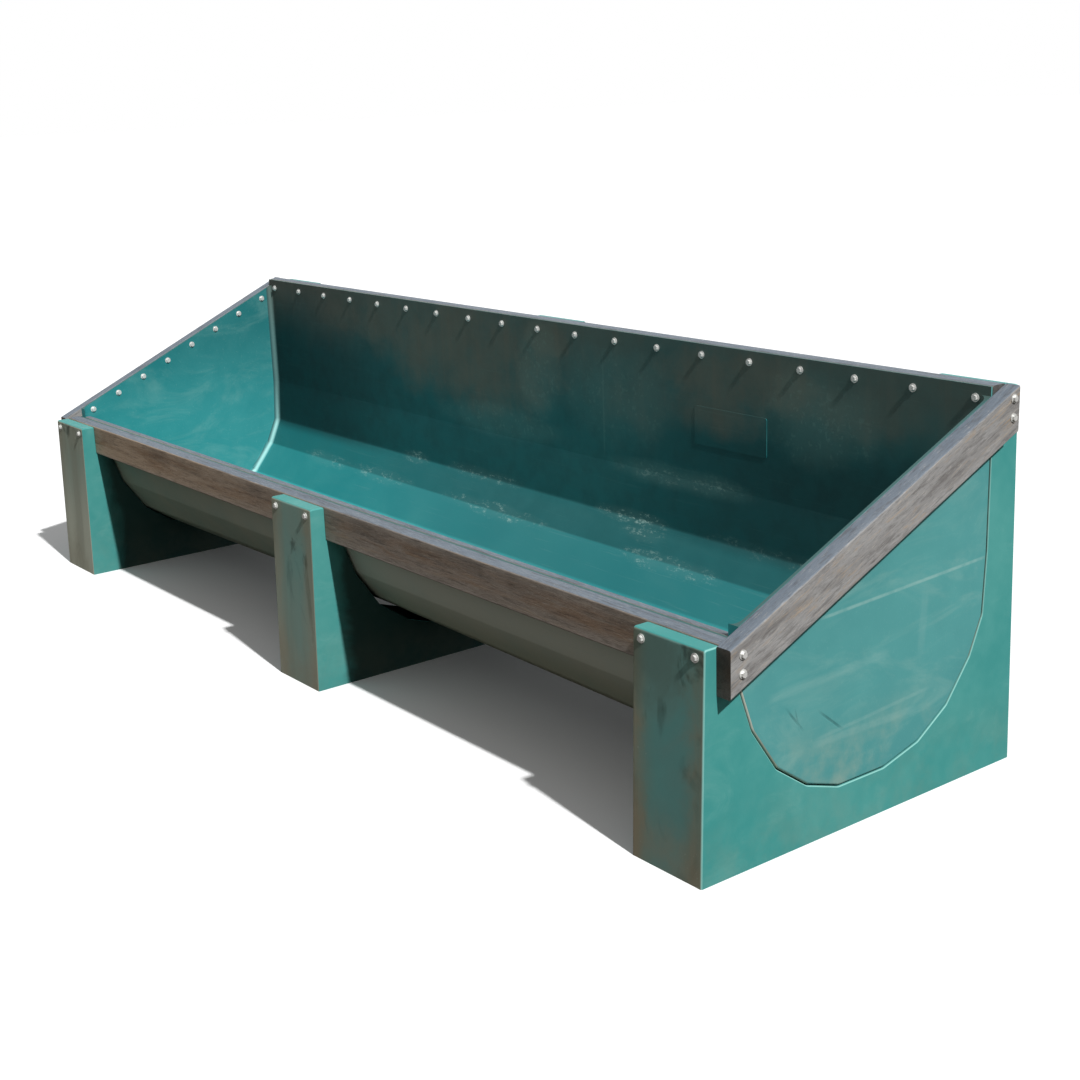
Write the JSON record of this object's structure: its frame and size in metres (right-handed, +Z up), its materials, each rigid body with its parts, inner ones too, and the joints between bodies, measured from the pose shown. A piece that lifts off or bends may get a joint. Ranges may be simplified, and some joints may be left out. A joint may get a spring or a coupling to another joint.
{
  "type": "cattle feed trough",
  "caption": "Long U-shaped moulded feed trough with a high back, a rim of boards screwed round it, and hollow stands under its ends and middle.",
  "frame": {"origin": "on the ground, at the middle of the trough's length and of the stands' footprint", "axes": "+X along the trough, +Y from the low feeding side to the high back, +Z up"},
  "size_m": [3.1364, 0.94, 0.857],
  "materials": {
    "green_poly": "moulded, slightly worn and dusty",
    "recycled_lumber": "weathered, fibrous grain along the board",
    "zinc_steel": "bright zinc"
  },
  "bodies": {
    "root": {"trough_tub": "green_poly", "front_rail": "recycled_lumber", "back_rail": "recycled_lumber", "left_end_rail": "recycled_lumber", "right_end_rail": "recycled_lumber", "front_rim_strip": "recycled_lumber", "left_stand": "green_poly", "middle_stand": "green_poly", "right_stand": "green_poly", "back_rim_screws": "zinc_steel", "front_rim_screws": "zinc_steel", "left_rim_screws": "zinc_steel", "right_rim_screws": "zinc_steel", "front_left_corner_screws": "zinc_steel", "front_right_corner_screws": "zinc_steel", "back_left_corner_screws": "zinc_steel", "back_right_corner_screws": "zinc_steel", "left_stand_front_screws": "zinc_steel", "left_stand_back_screws": "zinc_steel", "middle_stand_front_screws": "zinc_steel", "middle_stand_back_screws": "zinc_steel", "right_stand_front_screws": "zinc_steel", "right_stand_back_screws": "zinc_steel"}
  },
  "joints": []
}
